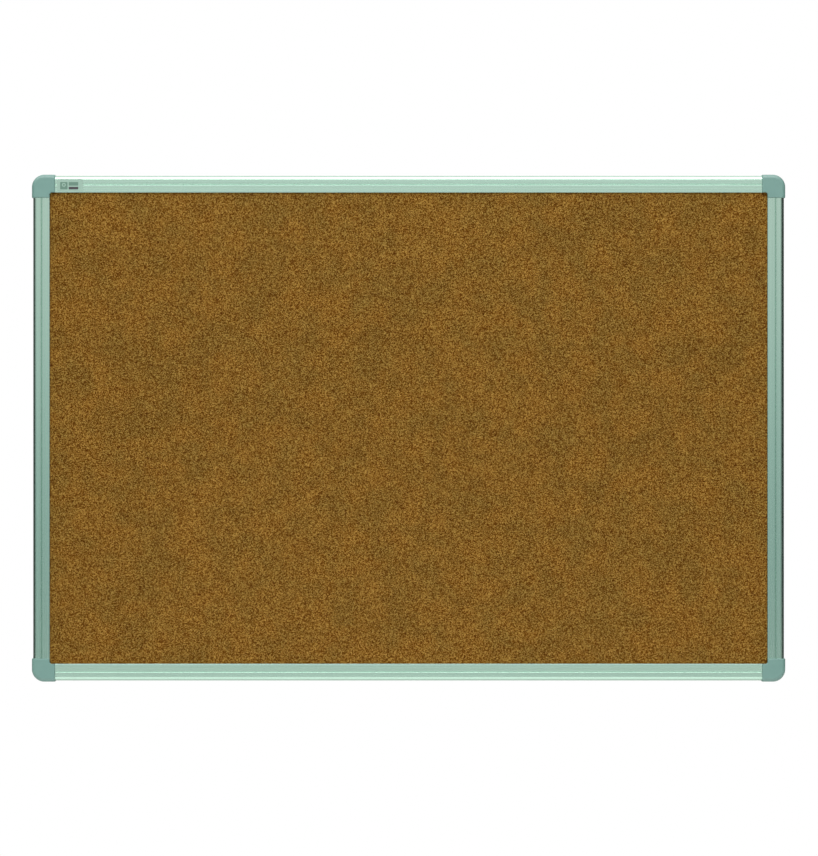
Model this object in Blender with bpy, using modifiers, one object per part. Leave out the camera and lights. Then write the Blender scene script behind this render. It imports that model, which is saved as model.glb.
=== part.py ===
"""Wall-hung cork notice board: four extruded rails, four moulded corner caps and a three-layer panel.

Units are metres, +Z up. The board hangs on a wall at y = 0 and faces -Y. It is built lying down,
with x to its right, y up its face and z out of the wall, and one empty then stands it upright.
"""
import math

import bmesh
import bpy
from mathutils import Matrix

# Overall size, measured over the rails
BOARD_WIDTH = 0.900
BOARD_HEIGHT = 0.605

# Space that is left between two pieces that touch or slide together
CLEARANCE = 0.0003

# Panel layers, front to back
CORK_THICKNESS = 0.0030
CORE_THICKNESS = 0.0060
BACKING_THICKNESS = 0.0025

# Extruded rail: a closed tube with a front lip over the panel and a rear lip behind it
RAIL_WALL = 0.0012
FACE_WIDTH = 0.0205
FACE_ROUND = 0.0055
LIP_OVERLAP = 0.0065
LIP_CHAMFER = 0.0010
REAR_LIP = 0.0050
REAR_LIP_SETBACK = 0.0029
GROOVE_FROM_EDGE = 0.0105
GROOVE_WIDTH = 0.0020
GROOVE_FLOOR = 0.0007
GROOVE_DEPTH = 0.0005

# Moulded corner cap: a shell around the rail ends, with a tongue up each rail's tube
CAP_SIDE = 0.0009
CAP_FRONT = 0.0015
CAP_REACH = 0.0268
CAP_CORNER_RADIUS = 0.0150
CAP_INNER_FILLET = 0.0030
CAP_EDGE_ROUND = 0.0050
CAP_END_ROUND = 0.0010
CAP_SHOULDER = 0.0005
TONGUE_LENGTH = 0.0240
TONGUE_WALL = 0.0020
TONGUE_LEAD_IN = 0.0010
TONGUE_ROOT = 0.0030

# Hanging keyhole in the back of each cap, with one slot for each way up of the board
KEYHOLE_PLATE = 0.0016
KEYHOLE_ENTRY = 0.0076
KEYHOLE_SLOT = 0.0042
KEYHOLE_TRAVEL = 0.0030
KEYHOLE_MARGIN = 0.0002
SLOT_END_FLAT = 0.0002
POCKET_DEPTH = 0.0074
POCKET_SIDE = 0.0021
POCKET_WEB = 0.0008
POCKET_CORNER = 0.0015

# Countersunk self-tapping screws, driven from behind through each rail into the cap's tongue
SCREW_DIAMETER = 0.0029
SCREW_LENGTH = 0.0085
SCREW_POINT = 0.0020
SCREW_HEAD = 0.0055
SCREW_HEAD_RIM = 0.0003
SCREW_BEYOND_CAP = 0.0070
CROSS_LENGTH = 0.0028
CROSS_WIDTH = 0.0006
CROSS_DEPTH = 0.0009

# Blank sticker on the upper rail, beside the left cap
LABEL_WIDTH = 0.0310
LABEL_THICKNESS = 0.0003
LABEL_MARGIN = 0.0008
LABEL_LAP = 0.0012
LABEL_CORNER = 0.0012
LABEL_FROM_CAP = 0.0023

# How finely rounds are drawn
ROUND_STEPS = 6
CORNER_STEPS = 9
CAP_EDGE_STEPS = 4
SCREW_STEPS = 20
KEYHOLE_STEPS = 24

# How far a cutting shape runs past what it cuts
OVERSHOOT = 0.0020

# Sizes that follow from the ones above
REAR_STAND = CAP_SIDE + CLEARANCE
CAP_OVERHANG = CAP_SIDE + CLEARANCE
PANEL_STACK = CORK_THICKNESS + CORE_THICKNESS + BACKING_THICKNESS + 2 * CLEARANCE
LIP_FRONT = REAR_LIP_SETBACK + RAIL_WALL
RAIL_DEPTH = LIP_FRONT + CLEARANCE + PANEL_STACK + CLEARANCE + RAIL_WALL
RAIL_FRONT = REAR_STAND + RAIL_DEPTH
CAP_DEPTH = RAIL_FRONT + CLEARANCE + CAP_FRONT
TUBE_WIDTH = FACE_WIDTH - LIP_OVERLAP
PANEL_MARGIN = TUBE_WIDTH + CLEARANCE
PANEL_BACK = REAR_STAND + LIP_FRONT + CLEARANCE
RAIL_END = FACE_WIDTH + CAP_SHOULDER
SCREW_FROM_CORNER = CAP_REACH + SCREW_BEYOND_CAP

SIDES = ("bottom", "right", "top", "left")
CORNERS = ("bottom_left", "bottom_right", "top_right", "top_left")


def clear_scene():
    """Empty the scene, so that the script can be run again in the same file."""
    for obj in list(bpy.data.objects):
        bpy.data.objects.remove(obj, do_unlink=True)
    for collection in list(bpy.data.collections):
        bpy.data.collections.remove(collection)


def new_collection(name):
    """Add a collection to the scene."""
    collection = bpy.data.collections.new(name)
    bpy.context.scene.collection.children.link(collection)
    return collection


def new_material(name, colour, roughness, metallic=0.0):
    """Make a plain material from a linear colour, its roughness and its metallic value."""
    material = bpy.data.materials.new(name)
    material.use_nodes = True
    shader = material.node_tree.nodes["Principled BSDF"]
    shader.inputs["Base Color"].default_value = (*colour, 1.0)
    shader.inputs["Roughness"].default_value = roughness
    shader.inputs["Metallic"].default_value = metallic
    return material


def move_to(obj, collection):
    """Keep an object in one collection only."""
    for other in list(obj.users_collection):
        other.objects.unlink(obj)
    collection.objects.link(obj)


def add_object(name, mesh, collection):
    """Put a mesh in a collection as a new object."""
    obj = bpy.data.objects.new(name, mesh)
    collection.objects.link(obj)
    return obj


def add_box(name, low, high, collection):
    """A box between two corners, from the cube primitive."""
    bpy.ops.mesh.primitive_cube_add(size=1.0)
    obj = bpy.context.active_object
    obj.name = name
    size = [high[axis] - low[axis] for axis in range(3)]
    middle = [(high[axis] + low[axis]) / 2 for axis in range(3)]
    obj.data.transform(Matrix.Diagonal((*size, 1.0)))
    obj.data.transform(Matrix.Translation(middle))
    move_to(obj, collection)
    return obj


def rounded_outline(corners, steps):
    """Points of a closed outline. Each corner is (x, y, radius), and a radius of 0 keeps it sharp."""
    points = []
    count = len(corners)
    for index, (x, y, radius) in enumerate(corners):
        if radius <= 0.0:
            points.append((x, y))
            continue
        before = corners[index - 1]
        after = corners[(index + 1) % count]
        points += corner_arc((x, y), before[:2], after[:2], radius, steps)
    return points


def corner_arc(corner, before, after, radius, steps):
    """Points of the arc that rounds one corner between its two neighbours."""
    incoming = direction(corner, before)
    outgoing = direction(corner, after)
    half_angle = math.acos(incoming[0] * outgoing[0] + incoming[1] * outgoing[1]) / 2
    setback = radius / math.tan(half_angle)
    start = [corner[axis] + incoming[axis] * setback for axis in range(2)]
    bisector = direction((0.0, 0.0), (incoming[0] + outgoing[0], incoming[1] + outgoing[1]))
    centre = [corner[axis] + bisector[axis] * radius / math.sin(half_angle) for axis in range(2)]
    first = math.atan2(start[1] - centre[1], start[0] - centre[0])
    turn = math.pi - 2 * half_angle
    if incoming[0] * outgoing[1] - incoming[1] * outgoing[0] > 0:
        turn = -turn
    angles = [first + turn * step / steps for step in range(steps + 1)]
    return [(centre[0] + radius * math.cos(a), centre[1] + radius * math.sin(a)) for a in angles]


def direction(start, end):
    """Unit vector from one point of an outline to another."""
    dx = end[0] - start[0]
    dy = end[1] - start[1]
    length = math.hypot(dx, dy)
    return (dx / length, dy / length)


def extruded(name, outline, low, high, collection):
    """A solid of a flat outline, from z = low to z = high."""
    curve = bpy.data.curves.new(name, "CURVE")
    curve.dimensions = "2D"
    curve.fill_mode = "BOTH"
    curve.extrude = (high - low) / 2
    spline = curve.splines.new("POLY")
    spline.points.add(len(outline) - 1)
    for point, (x, y) in zip(spline.points, outline):
        point.co = (x, y, 0.0, 1.0)
    spline.use_cyclic_u = True
    drawn = bpy.data.objects.new(name + "_outline", curve)
    drawn.location.z = (low + high) / 2
    collection.objects.link(drawn)
    mesh = mesh_of(drawn)
    mesh.transform(drawn.matrix_world)
    bpy.data.objects.remove(drawn)
    weld(mesh)
    return add_object(name, mesh, collection)


def mesh_of(obj):
    """A new mesh of an object as its modifiers leave it."""
    bpy.context.view_layer.update()
    evaluated = obj.evaluated_get(bpy.context.evaluated_depsgraph_get())
    return bpy.data.meshes.new_from_object(evaluated)


def weld(mesh):
    """Close the loose caps of an extruded outline and make each flat end one face."""
    shape = bmesh.new()
    shape.from_mesh(mesh)
    bmesh.ops.remove_doubles(shape, verts=shape.verts, dist=1e-6)
    flat = math.radians(0.1)
    bmesh.ops.dissolve_limit(shape, angle_limit=flat, verts=shape.verts, edges=shape.edges)
    bmesh.ops.recalc_face_normals(shape, faces=shape.faces)
    shape.to_mesh(mesh)
    shape.free()


def turned(name, profile, collection):
    """A turned solid: a profile of (radius, height), run down its outer side, swept around Z."""
    mesh = bpy.data.meshes.new(name)
    edges = [(index, index + 1) for index in range(len(profile) - 1)]
    mesh.from_pydata([(radius, 0.0, height) for radius, height in profile], edges, [])
    obj = add_object(name, mesh, collection)
    sweep = obj.modifiers.new("sweep", "SCREW")
    sweep.steps = SCREW_STEPS
    sweep.render_steps = SCREW_STEPS
    sweep.use_merge_vertices = True
    sweep.merge_threshold = 1e-6
    return obj


def mark_cutter(obj):
    """Show a cutting shape as wire only, and leave it out of the model."""
    obj.hide_render = True
    obj.display_type = "WIRE"
    return obj


def combine(target, other, operation):
    """Cut one shape from another, or join it on, with a live Boolean."""
    mark_cutter(other)
    modifier = target.modifiers.new(other.name, "BOOLEAN")
    modifier.operation = operation
    modifier.solver = "EXACT"
    modifier.object = other


def bake(obj):
    """Turn a shape with its modifiers into plain mesh data that several objects can share."""
    mesh = mesh_of(obj)
    obj.modifiers.clear()
    obj.data = mesh
    return mesh


def shade_smooth(mesh, angle=30.0):
    """Smooth shading with sharp edges kept where faces meet at more than the angle."""
    mesh.shade_smooth()
    mesh.set_sharp_from_angle(angle=math.radians(angle))


def tube_outline(inset):
    """The hollow inside the rail's tube, as (inward, forward) points, drawn in by an inset."""
    low = RAIL_WALL + inset
    inner = TUBE_WIDTH - RAIL_WALL - inset
    front = RAIL_DEPTH - RAIL_WALL - inset
    round_radius = max(FACE_ROUND - RAIL_WALL - inset, 0.0)
    corners = [(low, low, 0.0), (inner, low, 0.0), (inner, front, 0.0), (low, front, round_radius)]
    return rounded_outline(corners, ROUND_STEPS)


def rail_outline():
    """The rail's outer section, as (inward, forward) points from its outer rear corner."""
    front = RAIL_DEPTH
    under_lip = front - RAIL_WALL
    lip_tip = TUBE_WIDTH + REAR_LIP
    groove_half = GROOVE_WIDTH / 2
    floor_half = GROOVE_FLOOR / 2
    corners = [
        (0.0, 0.0, 0.0),
        (TUBE_WIDTH, 0.0, 0.0),
        (TUBE_WIDTH, REAR_LIP_SETBACK, 0.0),
        (lip_tip, REAR_LIP_SETBACK, 0.0),
        (lip_tip, LIP_FRONT, 0.0),
        (TUBE_WIDTH, LIP_FRONT, 0.0),
        (TUBE_WIDTH, under_lip, 0.0),
        (FACE_WIDTH, under_lip, 0.0),
        (FACE_WIDTH, front - LIP_CHAMFER, 0.0),
        (FACE_WIDTH - LIP_CHAMFER, front, 0.0),
        (GROOVE_FROM_EDGE + groove_half, front, 0.0),
        (GROOVE_FROM_EDGE + floor_half, front - GROOVE_DEPTH, 0.0),
        (GROOVE_FROM_EDGE - floor_half, front - GROOVE_DEPTH, 0.0),
        (GROOVE_FROM_EDGE - groove_half, front, 0.0),
        (0.0, front, FACE_ROUND),
    ]
    return rounded_outline(corners, ROUND_STEPS)


def rail_envelope():
    """The space that a rail's end takes in a cap, open on the panel's side."""
    inner = FACE_WIDTH + CAP_INNER_FILLET + OVERSHOOT
    corners = [
        (-CLEARANCE, -CLEARANCE, 0.0),
        (inner, -CLEARANCE, 0.0),
        (inner, RAIL_DEPTH + CLEARANCE, 0.0),
        (-CLEARANCE, RAIL_DEPTH + CLEARANCE, FACE_ROUND + CLEARANCE),
    ]
    return rounded_outline(corners, ROUND_STEPS)


def lay_along_x(mesh):
    """Turn a section drawn as (inward, forward) and extruded in Z, so that it runs along X."""
    mesh.transform(Matrix(((0, 0, 1, 0), (1, 0, 0, 0), (0, 1, 0, 0), (0, 0, 0, 1))))


def mirrored_in_diagonal(obj, name, collection):
    """A copy of a shape of the cap's x arm, turned over the diagonal onto its y arm."""
    mesh = obj.data.copy()
    mesh.transform(Matrix(((0, 1, 0, 0), (1, 0, 0, 0), (0, 0, 1, 0), (0, 0, 0, 1))))
    mesh.flip_normals()
    return add_object(name, mesh, collection)


def both_arms(obj, collection):
    """A shape of the cap's x arm together with its twin on the y arm."""
    return obj, mirrored_in_diagonal(obj, obj.name + "_twin", collection)


def screw_profile(grown):
    """Half section of a countersunk screw with its head's top at 0, grown by a clearance."""
    head = SCREW_HEAD / 2 + grown
    shank = SCREW_DIAMETER / 2 + grown
    top = OVERSHOOT if grown else 0.0
    cone = -SCREW_HEAD_RIM - (head - shank)
    tip = -SCREW_LENGTH - grown
    return [
        (0.0, top),
        (head, top),
        (head, -SCREW_HEAD_RIM),
        (shank, cone),
        (shank, tip + SCREW_POINT),
        (0.0, tip),
    ]


def screw_cutter(name, from_corner, rail_back, collection):
    """The countersunk hole for a screw, whose head lies flush with the rail's back."""
    cutter = turned(name, screw_profile(CLEARANCE), collection)
    mesh = bake(cutter)
    mesh.transform(Matrix.Rotation(math.pi, 4, "X"))
    mesh.transform(Matrix.Translation((from_corner, TUBE_WIDTH / 2, rail_back)))
    return mark_cutter(cutter)


def make_screw_mesh(cutters):
    """A countersunk screw with a cross recess, head up, with its head's top at z = 0."""
    screw = turned("screw_master", screw_profile(0.0), cutters)
    half_long = CROSS_LENGTH / 2
    half_wide = CROSS_WIDTH / 2
    for name, half_x, half_y in (("cross_a", half_long, half_wide), ("cross_b", half_wide, half_long)):
        slot = add_box(name, (-half_x, -half_y, -CROSS_DEPTH), (half_x, half_y, OVERSHOOT), cutters)
        combine(screw, slot, "DIFFERENCE")
    mesh = bake(screw)
    mark_cutter(screw)
    shade_smooth(mesh)
    return mesh


def make_rail_mesh(name, board_length, cutters):
    """A rail cut square at both ends, centred on x = 0, with its outer rear edge on the x axis."""
    half = board_length / 2 - RAIL_END
    rail = extruded(name, rail_outline(), -half, half, cutters)
    lay_along_x(rail.data)
    tube = extruded(name + "_tube", tube_outline(0.0), -half - OVERSHOOT, half + OVERSHOOT, cutters)
    lay_along_x(tube.data)
    combine(rail, tube, "DIFFERENCE")
    screw_at = board_length / 2 - SCREW_FROM_CORNER
    for end, at in (("left", -screw_at), ("right", screw_at)):
        hole = screw_cutter(f"{name}_hole_{end}", at, 0.0, cutters)
        combine(rail, hole, "DIFFERENCE")
    mesh = bake(rail)
    mark_cutter(rail)
    shade_smooth(mesh)
    return mesh


def cap_outline():
    """The cap's outline from the front, from the corner where the rails' outer lines would meet."""
    corners = [
        (-CAP_OVERHANG, -CAP_OVERHANG, CAP_CORNER_RADIUS),
        (CAP_REACH, -CAP_OVERHANG, 0.0),
        (CAP_REACH, FACE_WIDTH, 0.0),
        (FACE_WIDTH, FACE_WIDTH, CAP_INNER_FILLET),
        (FACE_WIDTH, CAP_REACH, 0.0),
        (-CAP_OVERHANG, CAP_REACH, 0.0),
    ]
    return rounded_outline(corners, CORNER_STEPS)


def round_cap_front(cap):
    """Round the cap's front edges, widely along its outside and finely at its ends and inner corner."""
    mesh = cap.data
    weights = mesh.attributes.new("bevel_weight_edge", "FLOAT", "EDGE")
    near = CLEARANCE / 2
    for edge in mesh.edges:
        ends = [mesh.vertices[index].co for index in edge.vertices]
        if min(end.z for end in ends) < CAP_DEPTH - near:
            continue
        middle = (ends[0] + ends[1]) / 2
        at_end = max(middle.x, middle.y) > CAP_REACH - near
        at_inner = min(middle.x, middle.y) > FACE_WIDTH - near
        weights.data[edge.index].value = CAP_END_ROUND / CAP_EDGE_ROUND if at_end or at_inner else 1.0
    bevel = cap.modifiers.new("front_edges", "BEVEL")
    bevel.limit_method = "WEIGHT"
    bevel.width = CAP_EDGE_ROUND
    bevel.segments = CAP_EDGE_STEPS
    cap.data = bake(cap)


def tongue_solid(cutters):
    """The tongue that fills the rail's tube, from inside the cap's shoulder to its chamfered tip."""
    start = RAIL_END - CLEARANCE - TONGUE_ROOT
    end = RAIL_END - CLEARANCE + TONGUE_LENGTH
    tongue = extruded("tongue", tube_outline(CLEARANCE), start, end, cutters)
    shape = bmesh.new()
    shape.from_mesh(tongue.data)
    tip = [edge for edge in shape.edges if all(vert.co.z > end - CLEARANCE for vert in edge.verts)]
    bmesh.ops.bevel(shape, geom=tip, offset=TONGUE_LEAD_IN, segments=1, affect="EDGES")
    shape.to_mesh(tongue.data)
    shape.free()
    lay_along_x(tongue.data)
    tongue.data.transform(Matrix.Translation((0.0, 0.0, REAR_STAND)))
    return tongue


def tongue_hollow(cutters):
    """The blind hollow up the middle of the tongue, open at its tip."""
    start = RAIL_END - CLEARANCE
    end = start + TONGUE_LENGTH + OVERSHOOT
    hollow = extruded("tongue_hollow", tube_outline(CLEARANCE + TONGUE_WALL), start, end, cutters)
    lay_along_x(hollow.data)
    hollow.data.transform(Matrix.Translation((0.0, 0.0, REAR_STAND)))
    return hollow


def rail_socket(cutters):
    """The space in the cap's arm that takes the rail's end, down to the shoulder."""
    start = RAIL_END - CLEARANCE
    socket = extruded("rail_socket", rail_envelope(), start, CAP_REACH + OVERSHOOT, cutters)
    lay_along_x(socket.data)
    socket.data.transform(Matrix.Translation((0.0, 0.0, REAR_STAND)))
    return socket


def panel_notch(cutters):
    """The notch in the cap that takes the panel's corner."""
    far = CAP_REACH + OVERSHOOT
    low = (TUBE_WIDTH, TUBE_WIDTH, PANEL_BACK - CLEARANCE)
    high = (far, far, PANEL_BACK + PANEL_STACK + CLEARANCE)
    return add_box("panel_notch", low, high, cutters)


def screw_head_pocket(cutters):
    """The hollow behind the keyhole that takes the wall screw's head, inside the cap's round corner."""
    low = POCKET_SIDE - CAP_OVERHANG
    high = TUBE_WIDTH - POCKET_WEB
    far = CAP_REACH + OVERSHOOT
    floor = KEYHOLE_PLATE
    square = [
        (low, low, 0.0),
        (high, low, POCKET_CORNER),
        (high, high, POCKET_CORNER),
        (low, high, POCKET_CORNER),
    ]
    outline = rounded_outline(square, ROUND_STEPS)
    pocket = extruded("screw_head_pocket", outline, floor, floor + POCKET_DEPTH, cutters)
    inside = [
        (low, low, CAP_CORNER_RADIUS - POCKET_SIDE),
        (far, low, 0.0),
        (far, far, 0.0),
        (low, far, 0.0),
    ]
    outline = rounded_outline(inside, CORNER_STEPS)
    limit = extruded("pocket_limit", outline, 0.0, floor + POCKET_DEPTH + OVERSHOOT, cutters)
    combine(pocket, limit, "INTERSECT")
    return pocket


def keyhole_centre():
    """Distance of the keyhole's entry from both outer lines of the rails."""
    return TUBE_WIDTH - POCKET_WEB - KEYHOLE_MARGIN - KEYHOLE_ENTRY / 2


def keyhole_entry(cutters):
    """The round hole that the wall screw's head enters by."""
    bpy.ops.mesh.primitive_cylinder_add(
        vertices=KEYHOLE_STEPS,
        radius=KEYHOLE_ENTRY / 2,
        depth=KEYHOLE_PLATE + OVERSHOOT,
        location=(keyhole_centre(), keyhole_centre(), KEYHOLE_PLATE / 2),
    )
    entry = bpy.context.active_object
    entry.name = "keyhole_entry"
    move_to(entry, cutters)
    return entry


def keyhole_slot(cutters):
    """The slot that the wall screw's shank slides up, from the entry towards the cap's outside."""
    centre = keyhole_centre()
    half = KEYHOLE_SLOT / 2
    far = centre - KEYHOLE_TRAVEL - half
    end_round = half - SLOT_END_FLAT / 2
    corners = [
        (far, centre - half, end_round),
        (centre, centre - half, 0.0),
        (centre, centre + half, 0.0),
        (far, centre + half, end_round),
    ]
    outline = rounded_outline(corners, ROUND_STEPS)
    return extruded("keyhole_slot", outline, -OVERSHOOT / 2, KEYHOLE_PLATE + OVERSHOOT / 2, cutters)


def make_cap_mesh(cutters):
    """The moulded cap for the lower left corner. One mould serves all four corners."""
    cap = extruded("cap_master", cap_outline(), 0.0, CAP_DEPTH, cutters)
    round_cap_front(cap)
    for shape in both_arms(rail_socket(cutters), cutters):
        combine(cap, shape, "DIFFERENCE")
    for shape in (panel_notch(cutters), screw_head_pocket(cutters), keyhole_entry(cutters)):
        combine(cap, shape, "DIFFERENCE")
    for shape in both_arms(keyhole_slot(cutters), cutters):
        combine(cap, shape, "DIFFERENCE")
    for shape in both_arms(tongue_solid(cutters), cutters):
        combine(cap, shape, "UNION")
    for shape in both_arms(tongue_hollow(cutters), cutters):
        combine(cap, shape, "DIFFERENCE")
    hole = screw_cutter("tongue_screw_hole", SCREW_FROM_CORNER, REAR_STAND, cutters)
    for shape in both_arms(hole, cutters):
        combine(cap, shape, "DIFFERENCE")
    mesh = bake(cap)
    mark_cutter(cap)
    shade_smooth(mesh)
    return mesh


def place(obj, quarter, location, parent, material):
    """Turn a piece by quarter turns about Z, put it in place and give it its material."""
    obj.rotation_euler.z = quarter * math.pi / 2
    obj.location = location
    obj.parent = parent
    obj.data.materials.clear()
    obj.data.materials.append(material)


def add_rails(parts, cutters, parent):
    """The four rails. Opposite rails are the same piece, turned half round."""
    aluminium = new_material("anodised_aluminium", (0.42, 0.53, 0.47), 0.35, 1.0)
    long_mesh = make_rail_mesh("rail_long", BOARD_WIDTH, cutters)
    short_mesh = make_rail_mesh("rail_short", BOARD_HEIGHT, cutters)
    half_width = BOARD_WIDTH / 2
    half_height = BOARD_HEIGHT / 2
    spots = ((0.0, -half_height), (half_width, 0.0), (0.0, half_height), (-half_width, 0.0))
    for quarter, (side, (x, y)) in enumerate(zip(SIDES, spots)):
        mesh = short_mesh if quarter % 2 else long_mesh
        rail = add_object(f"rail_{side}", mesh, parts)
        place(rail, quarter, (x, y, REAR_STAND), parent, aluminium)


def add_caps(parts, cutters, parent):
    """The four corner caps."""
    plastic = new_material("moulded_abs", (0.19, 0.34, 0.30), 0.5)
    mesh = make_cap_mesh(cutters)
    half_width = BOARD_WIDTH / 2
    half_height = BOARD_HEIGHT / 2
    spots = ((-1, -1), (1, -1), (1, 1), (-1, 1))
    for quarter, (corner, (sign_x, sign_y)) in enumerate(zip(CORNERS, spots)):
        cap = add_object(f"corner_cap_{corner}", mesh, parts)
        place(cap, quarter, (sign_x * half_width, sign_y * half_height, 0.0), parent, plastic)


def add_screws(parts, cutters, parent):
    """Two screws to each rail, one near each end, driven from behind."""
    steel = new_material("zinc_plated_steel", (0.55, 0.56, 0.55), 0.3, 1.0)
    mesh = make_screw_mesh(cutters)
    mesh.transform(Matrix.Rotation(math.pi, 4, "X"))
    inset = TUBE_WIDTH / 2
    across = BOARD_WIDTH / 2
    up = BOARD_HEIGHT / 2
    ends = {"left": -across + SCREW_FROM_CORNER, "right": across - SCREW_FROM_CORNER}
    levels = {"bottom": -up + SCREW_FROM_CORNER, "top": up - SCREW_FROM_CORNER}
    spots = {}
    for end, x in ends.items():
        spots[f"screw_bottom_rail_{end}"] = (x, -up + inset, REAR_STAND)
        spots[f"screw_top_rail_{end}"] = (x, up - inset, REAR_STAND)
    for level, y in levels.items():
        spots[f"screw_left_rail_{level}"] = (-across + inset, y, REAR_STAND)
        spots[f"screw_right_rail_{level}"] = (across - inset, y, REAR_STAND)
    for name, location in spots.items():
        screw = add_object(name, mesh, parts)
        place(screw, 0, location, parent, steel)


def add_panel(parts, parent):
    """The three layers of the panel, held in the rails' channel with a clearance all round."""
    layers = (
        ("backing_sheet", BACKING_THICKNESS, new_material("hardboard", (0.16, 0.08, 0.04), 0.7)),
        ("core_board", CORE_THICKNESS, new_material("softboard", (0.32, 0.24, 0.15), 0.9)),
        ("cork_sheet", CORK_THICKNESS, new_material("agglomerated_cork", (0.20, 0.10, 0.016), 0.85)),
    )
    half_width = BOARD_WIDTH / 2 - PANEL_MARGIN
    half_height = BOARD_HEIGHT / 2 - PANEL_MARGIN
    back = PANEL_BACK
    for name, thickness, material in layers:
        low = (-half_width, -half_height, back)
        high = (half_width, half_height, back + thickness)
        place(add_box(name, low, high, parts), 0, (0.0, 0.0, 0.0), parent, material)
        back += thickness + CLEARANCE


def add_label(parts, parent):
    """A thin blank sticker on the upper rail, beside the left cap.

    Its upper edge laps a little over the start of the rail's round.
    """
    paper = new_material("label_paper", (0.45, 0.57, 0.51), 0.5)
    top = FACE_ROUND - LABEL_LAP
    height = FACE_WIDTH - LIP_CHAMFER - LABEL_MARGIN - top
    corners = [
        (0.0, 0.0, LABEL_CORNER),
        (LABEL_WIDTH, 0.0, LABEL_CORNER),
        (LABEL_WIDTH, height, LABEL_CORNER),
        (0.0, height, LABEL_CORNER),
    ]
    outline = rounded_outline(corners, ROUND_STEPS)
    label = extruded("label", outline, 0.0, LABEL_THICKNESS, parts)
    x = -BOARD_WIDTH / 2 + CAP_REACH + LABEL_FROM_CAP
    y = BOARD_HEIGHT / 2 - top - height
    place(label, 0, (x, y, RAIL_FRONT + CLEARANCE), parent, paper)


def add_board():
    """Build every piece of the board and stand it upright against the wall plane."""
    parts = new_collection("cork_notice_board")
    cutters = new_collection("cutters")
    upright = bpy.data.objects.new("board_upright", None)
    parts.objects.link(upright)
    upright.rotation_euler.x = math.pi / 2
    add_rails(parts, cutters, upright)
    add_caps(parts, cutters, upright)
    add_screws(parts, cutters, upright)
    add_panel(parts, upright)
    add_label(parts, upright)
    bpy.context.view_layer.update()


clear_scene()
add_board()
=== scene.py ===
import math

import bmesh
import bpy
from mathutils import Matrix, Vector


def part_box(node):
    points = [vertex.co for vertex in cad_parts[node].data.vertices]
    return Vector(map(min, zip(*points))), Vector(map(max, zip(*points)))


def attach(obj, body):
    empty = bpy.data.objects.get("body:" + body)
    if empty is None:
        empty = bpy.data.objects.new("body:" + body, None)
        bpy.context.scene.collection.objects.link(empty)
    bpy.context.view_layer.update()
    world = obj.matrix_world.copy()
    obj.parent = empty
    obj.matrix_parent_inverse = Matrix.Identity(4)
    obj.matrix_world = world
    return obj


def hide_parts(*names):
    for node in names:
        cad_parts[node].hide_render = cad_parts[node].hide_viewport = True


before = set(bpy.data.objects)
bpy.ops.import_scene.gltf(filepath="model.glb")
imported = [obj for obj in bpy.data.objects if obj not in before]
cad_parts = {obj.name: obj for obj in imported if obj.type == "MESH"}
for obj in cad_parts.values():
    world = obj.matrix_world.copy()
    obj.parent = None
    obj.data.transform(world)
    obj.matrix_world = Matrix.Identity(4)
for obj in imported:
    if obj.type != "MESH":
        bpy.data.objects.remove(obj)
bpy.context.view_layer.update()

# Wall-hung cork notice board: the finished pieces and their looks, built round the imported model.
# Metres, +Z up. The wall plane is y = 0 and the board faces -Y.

MM = 0.001


# ---------------------------------------------------------------- sizes

def middle(node):
    """Centre of a CAD node's box."""
    low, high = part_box(node)
    return (low + high) / 2


rail_low, rail_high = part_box("rail_bottom")
side_low, side_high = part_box("rail_left")
cap_low, cap_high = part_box("corner_cap_bottom_left")
cork_low, cork_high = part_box("cork_sheet")
back_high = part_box("backing_sheet")[1]
label_low, label_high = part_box("label")
screw_low, screw_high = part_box("screw_bottom_rail_right")

# Outer lines of the four rails
HALF_WIDTH = -side_low.x
HALF_HEIGHT = -rail_low.z

# Rail section: a closed tube with a lip over the panel and a lip behind it
FACE_WIDTH = rail_high.z - rail_low.z
RAIL_DEPTH = rail_high.y - rail_low.y
RAIL_BACK = rail_high.y
LONG_RAIL = rail_high.x - rail_low.x
SHORT_RAIL = side_high.z - side_low.z
RAIL_WALL = 1.2 * MM
TUBE_WIDTH = 14.0 * MM
FACE_ROUND = 5.5 * MM
LIP_ROUND = 0.5 * MM
REAR_LIP_REACH = 19.0 * MM
REAR_LIP_BACK = 2.9 * MM
GROOVE_FROM_EDGE = 10.8 * MM
GROOVE_WIDTH = 1.4 * MM
GROOVE_FLOOR = 0.4 * MM
GROOVE_DEPTH = 0.7 * MM
ARRIS = 0.25 * MM
ARRIS_STEPS = 2
FACE_STEPS = 14
LIP_STEPS = 5
HOLLOW_STEPS = 10

# Corner cap: a shell round the rails' ends, seen from the corner where the outer lines meet
CAP_OVERHANG = -HALF_WIDTH - cap_low.x
CAP_DEPTH = cap_high.y - cap_low.y
CAP_REACH = 26.8 * MM
CAP_BACK = 0.9 * MM
CAP_CORNER_ROUND = 15.0 * MM
CAP_INNER_ROUND = 3.0 * MM
CAP_RIM_ROUND = 5.0 * MM
CAP_END_ROUND = 1.0 * MM
CAP_CORNER_STEPS = 28
CAP_INNER_STEPS = 8
CAP_RIM_STEPS = 10
CAP_END_STEPS = 4
SOCKET_STEPS = 12
RAIL_START = rail_low.x + HALF_WIDTH
TONGUE_END = cap_high.x + HALF_WIDTH
TONGUE_ROOT = 3.0 * MM
TONGUE_WALL = 2.0 * MM
TONGUE_LEAD_IN = 1.0 * MM
TONGUE_STEPS = 8
GAP = 0.3 * MM

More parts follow.
